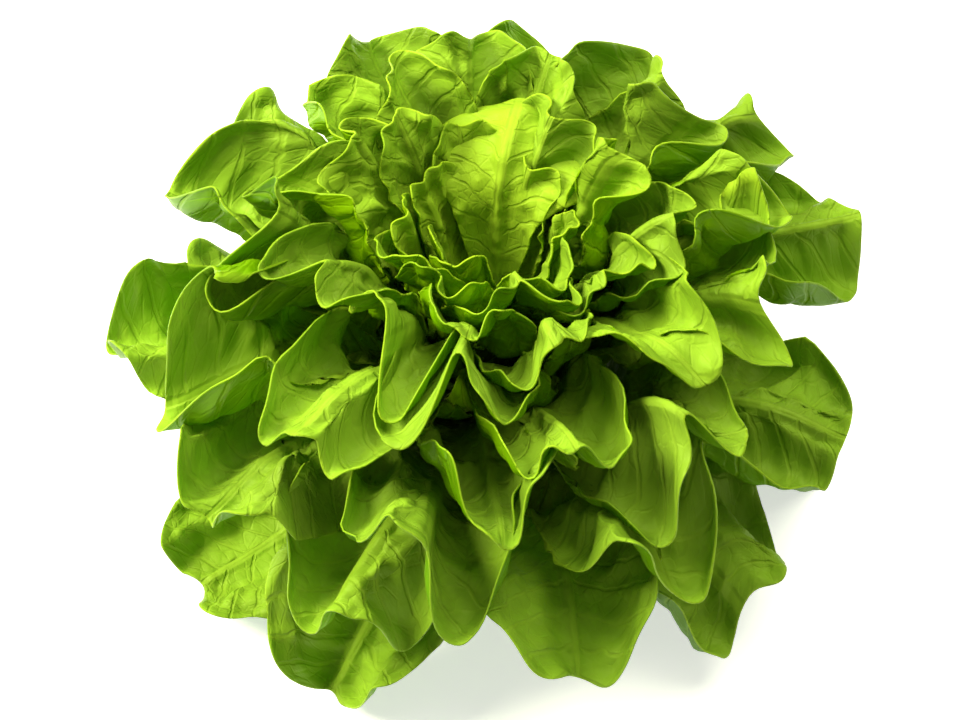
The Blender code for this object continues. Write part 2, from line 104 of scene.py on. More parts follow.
# ---- waves, blisters and veins of the blade ----
WAVE_GAIN = 1.4                 # swing of a margin against the CAD blade's
WAVES_ACROSS = 1.5
WAVE_START = 0.30               # share of its length where a leaf's waves begin
WAVE_BUILD_UP = 0.60            # and over which they build up
CALM_WIDTH = 28.0               # half width in mm below which young leaves wave less
WAVE_BREADTH = 1.6
SCALLOP_DEPTH = 0.0015
RUFFLE_HEIGHT = 0.0065
RUFFLE_DEPTH = 0.028            # how far in from the margin the ruffles reach
RUFFLE_SHARE = 0.3              # of the ruffle height for each degree of a leaf's wave
RUFFLE_TURNS = (3.3, 5.7)       # ruffles for each radian around the blade, coarse and fine
FINE_RUFFLE = 0.6               # fine ruffles against coarse ones
RUFFLE_SPREAD = 0.03            # least metres for each radian of lean, for the ruffles
FRILL_HEIGHT = 0.0012
FRILL_DEPTH = 0.007
FRILL_TURNS = (13.0, 21.0)      # frills for each radian around the blade, coarse and fine
FINE_FRILL = 0.6
GROOVE_DEPTH = 0.0012           # over the rib
GROOVE_WIDTH = 0.0025
FIRST_TONE = 0.90               # of the first leaf, the brightest of the heart
GOLDEN_SHARE = 0.381966         # step in tone from each leaf to the next
LEAST_HEIGHT = 0.0002           # of any point of a blade above the surface
LYING_HEIGHT = 0.0008           # middle of a blade that lies on the surface
BLISTER_SIZE = 0.013
BLISTER_HEIGHT = 0.0030
VALLEY_ROUNDING = 0.05          # how soft the valleys between blisters are
VEIN_SPACING = 0.0105
VEIN_SLOPE = 0.85

# ---- how finely the shapes are worked out ----
LENGTH_STEPS = 60
WIDTH_STEPS = 54
FAN_LEANS = np.radians(np.arange(0.0, 131.0, 2.5))
FAN_DISTANCES = np.arange(0.0, 0.2001, 0.002)
HEADINGS = np.radians(np.arange(0.0, 360.0, 3.0))
PRESS_STEP = 0.004
PRESS_ROUNDS = 90
BLADE_STIFFNESS = 0.30          # how much of a bend is smoothed away each round
PUSH_SHARE = 0.20               # how much of what it lacks a leaf moves in one round
PUSH_LIMIT = 0.12               # radians that one round may push a leaf
LACK_LIMIT = 0.2                # radians that one neighbour may ask for
LEAST_PRESENCE = 0.02           # beside its margin, below which a leaf takes no room
LEAST_LEAN = math.radians(1.5)
LEAST_SPREAD = 0.004            # metres for each radian of lean
FADE_START = 0.25               # share of the reserve beside a margin that is kept whole
LAST_ROOM_SHARE = 0.5           # of the clearances that the last pass must keep
SURFACE_ROOM = 0.0012           # lowest leaves' middle sheet to the surface, while pressing
FIRST_DISTANCE = 0.018          # where the shared grid starts
GRID_MARGIN = 0.010             # how far it goes on past the longest leaf
SOFTENING_ROUNDS = 3

Leaf = namedtuple("Leaf", "name heading lean reach half notch flare twist cup wave phase")

HEART = (
    Leaf("heart_leaf_01", 78, 7, 116, 18, -6, -2, 0, 2, 0, 0),
    Leaf("heart_leaf_02", 195, 11, 88, 15, 0, 1, -3, 0, 2, 200),
    Leaf("heart_leaf_03", 145, 13, 98, 19, 4, 1, -3, -2, 2, 300),
    Leaf("heart_leaf_04", 240, 14, 94, 18, 2, 1, 2, -2, 2, 150),
    Leaf("heart_leaf_05", 55, 15, 96, 18, 2, 1, 0, 2, 2, 240),
    Leaf("heart_leaf_06", 180, 16, 98, 19, 2, 1, 2, 0, 3, 330),
    Leaf("heart_leaf_07", 345, 17, 98, 20, 2, 1, -2, -2, 2, 100),
    Leaf("heart_leaf_08", 105, 17, 104, 19, 3, 0, 0, -2, 2, 20),
)
INNER = (
    Leaf("inner_leaf_01", 214, 19, 104, 22, 0, 1, -3, -9, 2, 200),
    Leaf("inner_leaf_02", 310, 19, 104, 21, 2, 2, 3, -9, 3, 60),
    Leaf("inner_leaf_03", 138, 21, 116, 20, 0, 0, -2, -3, 2, 140),
    Leaf("inner_leaf_04", 55, 21, 113, 24, 3, 0, 3, -3, 4, 270),
    Leaf("inner_leaf_05", 242, 22, 108, 22, 5, 2, 3, -6, 4, 30),
    Leaf("inner_leaf_06", 12, 23, 119, 25, 0, 1, -3, -9, 3, 180),
    Leaf("inner_leaf_07", 284, 23, 116, 29, 4, 3, 0, -13, 2, 330),
    Leaf("inner_leaf_08", 157, 24, 120, 22, 0, 0, 5, -6, 4, 210),
    Leaf("inner_leaf_09", 322, 26, 118, 26, 5, 2, 3, -9, 3, 250),
    Leaf("inner_leaf_10", 120, 27, 124, 24, 2, 0, -5, -3, 4, 150),
    Leaf("inner_leaf_11", 172, 28, 123, 24, 0, 0, 3, -8, 4, 10),
)
MIDDLE = (
    Leaf("middle_leaf_01", 346, 29, 126, 27, 2, 2, -4, -12, 3, 300),
    Leaf("middle_leaf_02", 264, 29, 120, 27, 0, 2, 4, -8, 4, 130),
    Leaf("middle_leaf_03", 72, 30, 123, 24, 3, 0, -4, -4, 4, 60),
    Leaf("middle_leaf_04", 210, 30, 130, 27, 9, 2, 0, -10, 2, 220),
    Leaf("middle_leaf_05", 240, 32, 122, 26, 2, 2, 6, -4, 4, 0),
    Leaf("middle_leaf_06", 30, 32, 130, 27, 3, 0, -4, -10, 4, 170),
    Leaf("middle_leaf_07", 288, 33, 124, 25, 0, 2, 3, -12, 3, 280),
    Leaf("middle_leaf_08", 142, 34, 128, 25, 6, 0, -6, -4, 4, 110),
    Leaf("middle_leaf_09", 190, 34, 134, 28, 7, 2, 4, -10, 4, 340),
    Leaf("middle_leaf_10", 95, 35, 127, 27, 4, 1, -4, -4, 4, 200),
    Leaf("middle_leaf_11", 316, 36, 134, 32, 5, 4, 0, -12, 4, 50),
    Leaf("middle_leaf_12", 262, 37, 132, 30, 6, 3, -4, -10, 4, 240),
    Leaf("middle_leaf_13", 0, 38, 138, 28, 2, 1, 4, -8, 4, 130),
    Leaf("middle_leaf_14", 52, 39, 134, 27, 6, 0, -4, -4, 4, 20),
    Leaf("middle_leaf_15", 286, 40, 136, 26, 0, 3, 4, -16, 3, 300),
    Leaf("middle_leaf_16", 338, 41, 138, 29, 6, 2, -4, -10, 4, 190),
    Leaf("middle_leaf_17", 168, 42, 141, 29, 3, 0, 4, -4, 4, 70),
)
OUTER = (
    Leaf("outer_leaf_01", 235, 44, 138, 28, 0, 2, 4, -10, 4, 260),
    Leaf("outer_leaf_02", 115, 46, 135, 30, 3, 1, -4, -4, 4, 150),
    Leaf("outer_leaf_03", 272, 47, 137, 28, 0, 2, 4, -9, 4, 120),
    Leaf("outer_leaf_04", 205, 48, 142, 29, 7, 2, 4, -10, 4, 30),
    Leaf("outer_leaf_05", 308, 50, 142, 30, 8, 3, -4, -10, 4, 310),
    Leaf("outer_leaf_06", 30, 52, 141, 31, 3, 0, 4, -4, 4, 200),
    Leaf("outer_leaf_07", 78, 54, 135, 31, 8, 1, -4, -4, 4, 90),
    Leaf("outer_leaf_08", 260, 56, 146, 31, 2, 2, 4, -10, 4, 340),
    Leaf("outer_leaf_09", 10, 58, 145, 31, -6, 1, -4, -8, 4, 230),
    Leaf("outer_leaf_10", 224, 60, 148, 31, 8, 2, 4, -4, 4, 120),
    Leaf("outer_leaf_11", 298, 61, 143, 31, 6, 1, -4, -7, 4, 20),
    Leaf("outer_leaf_12", 142, 63, 139, 31, 2, 0, -4, -4, 4, 10),
    Leaf("outer_leaf_13", 335, 66, 146, 33, 2, 1, 4, -10, 4, 260),
    Leaf("outer_leaf_14", 247, 66, 142, 31, 0, 3, 4, -6, 4, 200),
    Leaf("outer_leaf_15", 185, 69, 148, 31, 8, 1, -4, -8, 4, 150),
    Leaf("outer_leaf_16", 283, 72, 148, 35, 10, 3, 0, -10, 2, 40),
)
SKIRT = (
    Leaf("skirt_leaf_01", 45, 76, 140, 34, 3, 2, 3, -2, 4, 290),
    Leaf("skirt_leaf_02", 312, 81, 146, 34, 8, 3, -3, -4, 4, 180),
    Leaf("skirt_leaf_03", 245, 87, 146, 34, 7, 4, 3, -4, 4, 70),
    Leaf("skirt_leaf_04", 110, 92, 137, 36, 8, 4, -3, -2, 4, 320),
    Leaf("skirt_leaf_05", 356, 97, 146, 36, 7, 4, 3, -4, 4, 210),
    Leaf("skirt_leaf_06", 215, 101, 146, 36, 8, 4, -3, -2, 4, 100),
    Leaf("skirt_leaf_07", 155, 105, 141, 36, 3, 4, 3, -2, 4, 350),
)
LEAVES = HEART + INNER + MIDDLE + OUTER + SKIRT

# leaves whose margin or tip is turned right over: edge (-1 left, 1 right, 0 tip), where the turn
# starts (share of the half width, or of the length), its radius in mm, its angle in degrees
Turn = namedtuple("Turn", "edge start radius angle")
TURNS = {
    "heart_leaf_01": Turn(0, 0.60, 14, 150),
    "middle_leaf_16": Turn(1, 0.55, 4, -150),
    "outer_leaf_04": Turn(-1, 0.60, 4, -140),
}

MM = 0.001


def smooth_step(x):
    x = np.clip(x, 0.0, 1.0)
    return x * x * (3.0 - 2.0 * x)


def read_grid(grid, row, column):
    """Value of a grid between its points; row and column may be arrays."""
    row = np.clip(row, 0.0, grid.shape[0] - 1.001)
    column = np.clip(column, 0.0, grid.shape[1] - 1.001)
    low_row = np.floor(row).astype(int)
    low_column = np.floor(column).astype(int)
    part_row = row - low_row
    part_column = column - low_column
    near = grid[low_row, low_column] * (1 - part_column) + grid[low_row, low_column + 1] * part_column
    far = grid[low_row + 1, low_column] * (1 - part_column) + grid[low_row + 1, low_column + 1] * part_column
    return near * (1 - part_row) + far * part_row


def soft_noise(x, y, seed):
    """Smooth noise between -1 and 1, about one bump to a unit."""
    table = np.random.RandomState(seed).uniform(-1.0, 1.0, (64, 64))
    column = np.floor(x).astype(int)
    row = np.floor(y).astype(int)
    right = smooth_step(x - column)
    up = smooth_step(y - row)
    low = table[row % 64, column % 64] * (1 - right) + table[row % 64, (column + 1) % 64] * right
    high = table[(row + 1) % 64, column % 64] * (1 - right) + table[(row + 1) % 64, (column + 1) % 64] * right
    return low * (1 - up) + high * up


class Fan:
    """The fountain of curves that the leaves follow: radius and height by lean and distance."""

    def __init__(self):
        lean = FAN_LEANS[:, None]
        distance = FAN_DISTANCES[None, :]
        foot_slope = (LAST_FOOT_LEAN - FIRST_FOOT_LEAN) / LAST_LEAN
        foot = math.radians(FIRST_FOOT_LEAN) + foot_slope * lean
        bend = smooth_step((distance - FOOT_DISTANCE) / BEND_LENGTH)
        share = np.clip(lean / math.radians(ARCH_END), 0.0, 1.0)
        arch_start = ARCH_START[0] + (ARCH_START[1] - ARCH_START[0]) * share
        arch = math.radians(ARCH_ANGLE) * np.sin(math.pi * share)
        turn = foot + (lean - foot) * bend + arch * smooth_step((distance - arch_start) / ARCH_LENGTH)
        step = FAN_DISTANCES[1] - FAN_DISTANCES[0]
        middle = 0.5 * (turn[:, 1:] + turn[:, :-1])
        start = np.zeros((len(FAN_LEANS), 1))
        self.radius = np.hstack([start, np.cumsum(np.sin(middle) * step, axis=1)])
        self.height = np.hstack([start, np.cumsum(np.cos(middle) * step, axis=1)])
        radius_change = np.gradient(self.radius, FAN_LEANS, axis=0)
        height_change = np.gradient(self.height, FAN_LEANS, axis=0)
        self.spread = radius_change * np.cos(turn) - height_change * np.sin(turn)
        self.spread = np.maximum(self.spread, LEAST_SPREAD)

    def read(self, grid, lean, distance):
        row = lean / (FAN_LEANS[1] - FAN_LEANS[0])
        column = distance / (FAN_DISTANCES[1] - FAN_DISTANCES[0])
        return read_grid(grid, row, column)

    def lowest_lean(self, distances):
        """Largest lean at each distance that keeps a blade clear of the surface."""
        lowest = SURFACE_ROOM - CROWN_HEIGHT
        found = []
        for distance in distances:
            height = self.read(self.height, FAN_LEANS, np.full_like(FAN_LEANS, distance))
            last = np.flatnonzero(height > lowest)[-1]
            nearby = slice(last, min(last + 2, len(FAN_LEANS)))
            found.append(np.interp(-lowest, -height[nearby], FAN_LEANS[nearby]))
        return np.array(found)


def curled(swing):
    """A wave with broad round crests and short steep sides, as a crowded margin makes."""
    return np.tanh(WAVE_BREADTH * swing) / math.tanh(WAVE_BREADTH)


def share_along(leaf, distance):
    return (distance - FOOT_DISTANCE) / (leaf.reach * MM - FOOT_DISTANCE)


def middle_heading(leaf, along):
    sway = math.radians(SWAY) * math.sin(math.radians(2.0 * leaf.phase))
    return math.radians(leaf.heading) + sway * (1.0 - smooth_step(along))


def half_width(leaf, distance):
    half = leaf.half * MM
    foot = min(FOOT_HALF_WIDTH, FOOT_SHARE * half)
    widest = UPPER_WIDEST if leaf.lean < LOW_LEAN else LOW_WIDEST
    return foot + (half - foot) * smooth_step(share_along(leaf, distance) / widest)


def half_wrap(leaf, fan, distance):
    """How far a leaf reaches around the head on each side of its middle line, in radians."""
    radius = fan.read(fan.radius, np.full_like(distance, math.radians(leaf.lean)), distance)
    limit = math.radians(WRAP_LIMIT)
    return limit * np.tanh(half_width(leaf, distance) / (radius * limit))


def tip_distance(leaf, across):
    """How far out the leaf's end lies at each place across it: broad and round, dipped or pointed."""
    side = np.clip(np.abs(across), 0.0, 1.0)
    fullness = (1.0 - TIP_FULLNESS * side ** TIP_POWER) ** (1.0 / TIP_POWER)
    rounding = TIP_ROUNDING * leaf.half * MM * (1.0 - fullness)
    dip = leaf.notch * MM * np.exp(-(across / NOTCH_WIDTH) ** 2)
    swing = np.sin(WAVES_ACROSS * math.pi * across + math.radians(leaf.phase))
    scallop = SCALLOP_DEPTH * (1.0 - swing ** 2) * min(1.0, leaf.half / LARGE_HALF)
    return leaf.reach * MM - rounding - dip - scallop


def margin_distance(leaf, distance, across):
    """How far a point lies in from the leaf's margin, in metres."""
    side = np.clip(np.abs(across), 0.0, 1.0)
    width = half_width(leaf, distance)
    beside = (1.0 - side) * width
    slope = (tip_distance(leaf, across + 0.02) - tip_distance(leaf, across - 0.02)) / (0.04 * width)
    before = (tip_distance(leaf, across) - distance) / np.sqrt(1.0 + slope ** 2)
    beside = np.maximum(beside, 0.0)
    before = np.maximum(before, 0.0)
    return beside * before / np.sqrt(beside ** 2 + before ** 2 + 1e-9)


def turn_around_blade(leaf, distance, across):
    """Direction of a point from the middle of the blade, in radians: 0 at the tip."""
    centre = (leaf.reach - 1.5 * leaf.half) * MM
    return np.arctan2(across * half_width(leaf, distance), distance - centre)


def natural_lean(leaf, fan, distance, across):
    """Lean of a leaf's surface as it would be with no neighbours. across is -1 to 1."""
    side = np.clip(across, -BEYOND_SIDE, BEYOND_SIDE)
    along = share_along(leaf, distance)
    phase = math.radians(leaf.phase)
    opened = smooth_step(along / OPEN_SHARE)
    flare = leaf.flare * np.clip((along - FLARE_START) / (1.0 - FLARE_START), 0.0, BEYOND_SIDE) ** FLARE_POWER
    shape = (leaf.twist * side + leaf.cup * side ** 2) * opened
    calm = min(1.0, (leaf.half / CALM_WIDTH) ** 2)
    swing = curled(np.sin(WAVES_ACROSS * math.pi * side + phase))
    wave = leaf.wave * WAVE_GAIN * calm * swing * smooth_step((along - WAVE_START) / WAVE_BUILD_UP)
    lean = math.radians(leaf.lean) + np.radians(flare + shape + wave)
    inward = margin_distance(leaf, distance, np.clip(across, -1.0, 1.0))
    around = turn_around_blade(leaf, distance, across)
    coarse = curled(np.sin(RUFFLE_TURNS[0] * around + 2.0 * phase))
    fine = curled(np.sin(RUFFLE_TURNS[1] * around + 3.0 * phase))
    ruffle = coarse + FINE_RUFFLE * fine
    near_margin = smooth_step(1.0 - inward / RUFFLE_DEPTH)
    ruffle = ruffle * RUFFLE_HEIGHT * min(1.0, RUFFLE_SHARE * leaf.wave) * near_margin * opened
    spread = fan.read(fan.spread, np.clip(lean, 0.0, None), distance)
    return lean + ruffle * calm ** 2 / np.maximum(spread, RUFFLE_SPREAD)


def thickness(leaf, along, across):
    rib = RIB_THICKNESS * min(1.0, leaf.half / RIB_LEAF_HALF) - BLADE_THICKNESS
    fading = np.clip(1.0 - along, 0.0, 1.0) ** RIB_FADE
    return BLADE_THICKNESS + rib * fading * np.exp(-(across / RIB_SHARE) ** 2)


def wrap_angle(angle):
    return (angle + math.pi) % (2.0 * math.pi) - math.pi


class PressedLeaves:
    """Every smooth leaf's lean on one shared grid of distance and heading, pressed apart there."""

    def __init__(self, fan):
        longest = max(leaf.reach for leaf in LEAVES) * MM + GRID_MARGIN
        self.distances = np.arange(FIRST_DISTANCE, longest, PRESS_STEP)
        distance = np.broadcast_to(self.distances[:, None], (len(self.distances), len(HEADINGS)))
        opened = smooth_step((distance - OPENING_START) / OPENING_LENGTH)
        reserve = FOOT_RESERVE + (LEAF_RESERVE - FOOT_RESERVE) * opened
        shape = (len(LEAVES),) + distance.shape
        self.natural = np.zeros(shape)
        presence = np.zeros(shape)
        depth = np.zeros(shape)
        spread = np.zeros(shape)
        for rank, leaf in enumerate(LEAVES):
            along = share_along(leaf, distance)
            away = wrap_angle(HEADINGS[None, :] - middle_heading(leaf, along))
            wrap = half_wrap(leaf, fan, distance)
            across = away / wrap
            self.natural[rank] = natural_lean(leaf, fan, distance, across)
            radius = fan.read(fan.radius, np.full_like(distance, math.radians(leaf.lean)), distance)
            beside = (np.abs(away) - wrap) * radius
            outside = np.maximum(beside, distance - tip_distance(leaf, across))
            presence[rank] = 1.0 - smooth_step((outside - FADE_START * reserve) / reserve)
            depth[rank] = thickness(leaf, along, across)
            spread[rank] = fan.read(fan.spread, np.clip(self.natural[rank], 0.0, None), distance)
        room = FOOT_CLEARANCE + (LEAF_CLEARANCE - FOOT_CLEARANCE) * opened
        floor = fan.lowest_lean(self.distances)[:, None]
        self.leans = self.natural.copy()
        for _ in range(PRESS_ROUNDS):
            self.press_once(presence, depth, spread, room)
            self.leans -= np.clip(self.leans - floor, 0.0, None)
            self.leans = np.maximum(self.leans, LEAST_LEAN)
        self.press_outwards(presence, depth, spread, LAST_ROOM_SHARE * room)
        self.change = self.leans - self.natural

    def press_once(self, presence, depth, spread, room):
        """Move each touching pair of leaves a part of what they lack, half each way."""
        push = np.zeros_like(self.leans)
        for inner in range(len(LEAVES) - 1):
            outer = slice(inner + 1, len(LEAVES))
            gap = (0.5 * (depth[inner] + depth[outer]) + room) / (0.5 * (spread[inner] + spread[outer]))
            lack = gap * presence[inner] * presence[outer] - (self.leans[outer] - self.leans[inner])
            lack = np.clip(lack, 0.0, LACK_LIMIT) * (presence[inner] * presence[outer] > 0.0)
            push[outer] += lack
            push[inner] -= lack.sum(axis=0)
        self.leans += PUSH_SHARE * np.clip(push, -PUSH_LIMIT, PUSH_LIMIT)
        change = self.leans - self.natural
        around = 0.5 * (np.roll(change, 1, axis=2) + np.roll(change, -1, axis=2))
        beyond = np.concatenate([change[:, 1:], change[:, -1:]], axis=1)
        before = np.concatenate([change[:, :1], change[:, :-1]], axis=1)
        self.leans += BLADE_STIFFNESS * (0.5 * around + 0.25 * (beyond + before) - change)

    def press_outwards(self, presence, depth, spread, room):
        """Last pass, from the heart outwards: each leaf clears those inside it by at least this room."""
        for outer in range(1, len(LEAVES)):
            inner = slice(0, outer)
            gap = (0.5 * (depth[inner] + depth[outer]) + room) / spread[inner]
            solid = (presence[inner] > LEAST_PRESENCE) & (presence[outer] > LEAST_PRESENCE)
            least = np.where(solid, self.leans[inner] + gap, -10.0).max(axis=0)
            self.leans[outer] = np.maximum(self.leans[outer], least)

    def pressed_change(self, rank, distance, heading):
        grid = np.hstack([self.change[rank], self.change[rank][:, :1], self.change[rank][:, 1:2]])
        row = (distance - self.distances[0]) / (self.distances[1] - self.distances[0])
        column = (heading % (2.0 * math.pi)) / (HEADINGS[1] - HEADINGS[0])
        return read_grid(grid, row, column)


def soften(grid, rounds):
    """The same grid with its small creases smoothed away."""
    for _ in range(rounds):
        padded = np.pad(grid, 1, mode="edge")
        beside = padded[1:-1, :-2] + padded[1:-1, 2:] + padded[:-2, 1:-1] + padded[2:, 1:-1]
        grid = 0.5 * grid + 0.125 * beside
    return grid


def sheet_normals(points):
    along = np.gradient(points, axis=0)
    across = np.gradient(points, axis=1)
    normals = np.cross(across, along)
    return normals / np.maximum(np.linalg.norm(normals, axis=-1, keepdims=True), 1e-12)


def roll_over(points, start, radius, angle):
    """Bend the rows after start around one line, like a page turned over."""
    normals = sheet_normals(points)
    base = points[start]
    forward = points[start] - points[start - 1]
    forward = forward / np.linalg.norm(forward, axis=-1, keepdims=True)
    inward = normals[start] * (1.0 if angle > 0 else -1.0)
    steps = np.linalg.norm(np.diff(points[start:], axis=0), axis=-1)
    travelled = np.vstack([np.zeros((1, points.shape[1])), np.cumsum(steps, axis=0)])
    limit = abs(angle)
    turned = limit * (1.0 - np.exp(-travelled / (radius * limit)))
    middle = 0.5 * (turned[1:] + turned[:-1])[..., None]
    move = np.cos(middle) * forward + np.sin(middle) * inward
    bent = points.copy()
    bent[start + 1:] = base + np.cumsum(move * steps[..., None], axis=0)
    return bent


def turn_over(points, turn, along_steps, across_steps):
    angle = math.radians(turn.angle)
    if turn.edge == 0:
        start = int(np.searchsorted(along_steps, turn.start))
        return roll_over(points, start, turn.radius * MM, angle)
    sideways = points.transpose(1, 0, 2)
    if turn.edge < 0:
        sideways = sideways[::-1]
        angle = -angle
    start = int(np.searchsorted(across_steps, turn.start))
    sideways = roll_over(sideways, start, turn.radius * MM, -angle)
    if turn.edge < 0:
        sideways = sideways[::-1]
    return sideways.transpose(1, 0, 2)


def blade_relief(leaf, rank, distance, across, inward):
    """Height of the blisters, veins and fine frill over the smooth blade."""
    x = across * half_width(leaf, distance)
    opened = smooth_step((share_along(leaf, distance) - 0.25) / 0.4)
    lateral = (distance - VEIN_SLOPE * np.abs(x)) / VEIN_SPACING
    lateral = lateral + 0.35 * soft_noise(x / 0.012, distance / 0.012, 40 + rank)
    between = np.sqrt(np.sin(math.pi * lateral) ** 2 + 0.02)
    bumps = soft_noise(x / BLISTER_SIZE, distance / BLISTER_SIZE, 100 + rank)
    puffed = np.sqrt(bumps ** 2 + VALLEY_ROUNDING)
    small = soft_noise(x / (0.5 * BLISTER_SIZE), distance / (0.5 * BLISTER_SIZE), 200 + rank)
    relief = BLISTER_HEIGHT * (0.45 * between + 1.3 * puffed + 0.2 * small)
    away = smooth_step(np.abs(x) / 0.004)
    relief = relief * away * smooth_step(inward / 0.006)
    around = turn_around_blade(leaf, distance, across)
    frill = np.sin(FRILL_TURNS[0] * around + rank) + FINE_FRILL * np.sin(FRILL_TURNS[1] * around + 2.0 * rank)
    frill = frill * FRILL_HEIGHT * smooth_step(1.0 - inward / FRILL_DEPTH)
    groove = -GROOVE_DEPTH * np.exp(-(x / GROOVE_WIDTH) ** 2) * (1.0 - 0.6 * share_along(leaf, distance))
    young = min(1.0, leaf.half / CALM_WIDTH) ** 2
    return ((relief + frill) * young + groove) * opened


def lean_back(height):
    """How far back the head stands at a height; it grows straight up from the cut at first."""
    return HEAD_LEAN * height * smooth_step(height / CROWN_HEIGHT - 0.5)


def leaf_sheet(leaf, rank, fan, pressed):
    """Points of the leaf's middle sheet and what its material reads there."""
    along_steps = np.linspace(0.0, 1.0, LENGTH_STEPS) ** 0.80
    along_steps = np.append(along_steps[:-1], [0.994, 1.0])
    across_steps = np.linspace(-1.0, 1.0, WIDTH_STEPS)
    across_steps = np.concatenate([[-1.0, -0.985], across_steps[1:-1], [0.985, 1.0]])
    share, across = np.meshgrid(along_steps, across_steps, indexing="ij")
    distance = FOOT_DISTANCE + share * (tip_distance(leaf, across) - FOOT_DISTANCE)
    along = share_along(leaf, distance)
    heading = middle_heading(leaf, along) + across * half_wrap(leaf, fan, distance)
    change = soften(pressed.pressed_change(rank, distance, heading), SOFTENING_ROUNDS)
    lean = natural_lean(leaf, fan, distance, across) + change
    radius = fan.read(fan.radius, lean, distance)
    height = CROWN_HEIGHT + fan.read(fan.height, lean, distance)
    sideways = radius * np.cos(heading)
    backward = DEPTH_SCALE * radius * np.sin(heading) + lean_back(height)
    points = np.stack([sideways, backward, height], axis=-1)
    if leaf.name in TURNS:
        points = turn_over(points, TURNS[leaf.name], along_steps, across_steps)
    inward = margin_distance(leaf, distance, across)
    relief = blade_relief(leaf, rank, distance, across, inward)
    points = points + sheet_normals(points) * relief[..., None]
    points[..., 2] = np.maximum(points[..., 2], LYING_HEIGHT)
    blade = np.stack([across * half_width(leaf, distance), distance, inward], axis=-1)
    return points, thickness(leaf, along, across), blade, along


def make_leaf(leaf, rank, fan, pressed, material):
    points, depth, blade, along = leaf_sheet(leaf, rank, fan, pressed)
    offset = sheet_normals(points) * depth[..., None] / 2.0
    rows, columns = points.shape[:2]
    verts = np.concatenate([(points + offset).reshape(-1, 3), (points - offset).reshape(-1, 3)])
    verts[:, 2] = np.maximum(verts[:, 2], LEAST_HEIGHT)
    index = np.arange(rows * columns).reshape(rows, columns)
    corner = [index[:-1, :-1], index[:-1, 1:], index[1:, 1:], index[1:, :-1]]
    upper = np.stack([part.ravel() for part in corner], axis=1)
    lower = upper[:, ::-1] + rows * columns
    rim = np.concatenate([index[0, :-1], index[:-1, -1], index[-1, :0:-1], index[:0:-1, 0]])
    after = np.roll(rim, -1)
    edge = np.stack([after, rim, rim + rows * columns, after + rows * columns], axis=1)
    faces = np.concatenate([upper, lower, edge])
    name = leaf.name + "_blade"
    mesh = bpy.data.meshes.new(name)
    mesh.from_pydata(verts.tolist(), [], faces.tolist())
    mesh.shade_smooth()
    under = np.concatenate([np.zeros(rows * columns), np.ones(rows * columns)])
    tone = np.full(2 * rows * columns, (FIRST_TONE + rank * GOLDEN_SHARE) % 1.0)
    look = np.stack([tone, np.tile(along.ravel(), 2), under], axis=1)
    for label, values in (("blade", np.tile(blade.reshape(-1, 3), (2, 1))), ("look", look)):
        layer = mesh.attributes.new(label, "FLOAT_VECTOR", "POINT")
        layer.data.foreach_set("vector", values.astype(np.float32).ravel())
    mesh.materials.append(material)
    obj = bpy.data.objects.new(name, mesh)
    bpy.context.scene.collection.objects.link(obj)
    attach(obj, "root")
    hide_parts(leaf.name)
    return obj


# ---- materials ----
class Nodes:
    """Short names for adding and joining shader nodes."""

    def __init__(self, name):
        self.material = bpy.data.materials.new(name)
        self.material.use_nodes = True
        self.tree = self.material.node_tree
        self.tree.nodes.clear()

    def add(self, kind, inputs=None, **settings):
        node = self.tree.nodes.new(kind)
        for key, value in settings.items():
            setattr(node, key, value)
        for key, value in (inputs or {}).items():
            self.put(node.inputs[key], value)
        return node

    def put(self, socket, value):
        if isinstance(value, bpy.types.NodeSocket):
            self.tree.links.new(value, socket)
        elif isinstance(value, tuple) and len(value) == 3 and socket.type == "RGBA":
            socket.default_value = (*value, 1.0)
        else:
            socket.default_value = value

    def math(self, operation, first, second=0.0, third=0.0):
        node = self.add("ShaderNodeMath", {0: first, 1: second, 2: third}, operation=operation)
        return node.outputs[0]

    def ramp(self, value, low, high, start=0.0, end=1.0):
        """Goes from start to end as the value goes from low to high."""
        node = self.add("ShaderNodeMapRange", {0: value, 1: low, 2: high, 3: start, 4: end})
        node.interpolation_type = "SMOOTHSTEP"
        return node.outputs[0]

    def mix(self, share, first, second, blend="MIX"):
        node = self.add("ShaderNodeMix", data_type="RGBA", blend_type=blend)
        self.put(node.inputs[0], share)
        self.put(node.inputs[6], first)
        self.put(node.inputs[7], second)
        return node.outputs[2]

    def noise(self, vector, scale, detail=2.0):
        node = self.add("ShaderNodeTexNoise", {"Vector": vector, "Scale": scale, "Detail": detail})
        return node.outputs[0]

    def attribute(self, name):
        node = self.add("ShaderNodeAttribute", attribute_name=name)
        split = self.add("ShaderNodeSeparateXYZ", {0: node.outputs["Vector"]})
        return node.outputs["Vector"], split.outputs


# deep and bright colour of each kind of leaf, and its pale colour for the veins and the margin, the margin
# band being partly a painted highlight of lit rims (linear)
LEAF_COLOURS = {
    "heart_leaf": ((0.090, 0.200, 0.000), (0.320, 0.520, 0.001), (0.420, 0.600, 0.020)),
    "inner_leaf": ((0.060, 0.170, 0.000), (0.245, 0.460, 0.001), (0.390, 0.570, 0.020)),
    "middle_leaf": ((0.044, 0.140, 0.000), (0.190, 0.390, 0.001), (0.350, 0.530, 0.020)),
    "outer_leaf": ((0.039, 0.125, 0.000), (0.165, 0.355, 0.001), (0.330, 0.510, 0.020)),
    "skirt_leaf": ((0.036, 0.115, 0.000), (0.155, 0.335, 0.001), (0.320, 0.490, 0.020)),
}


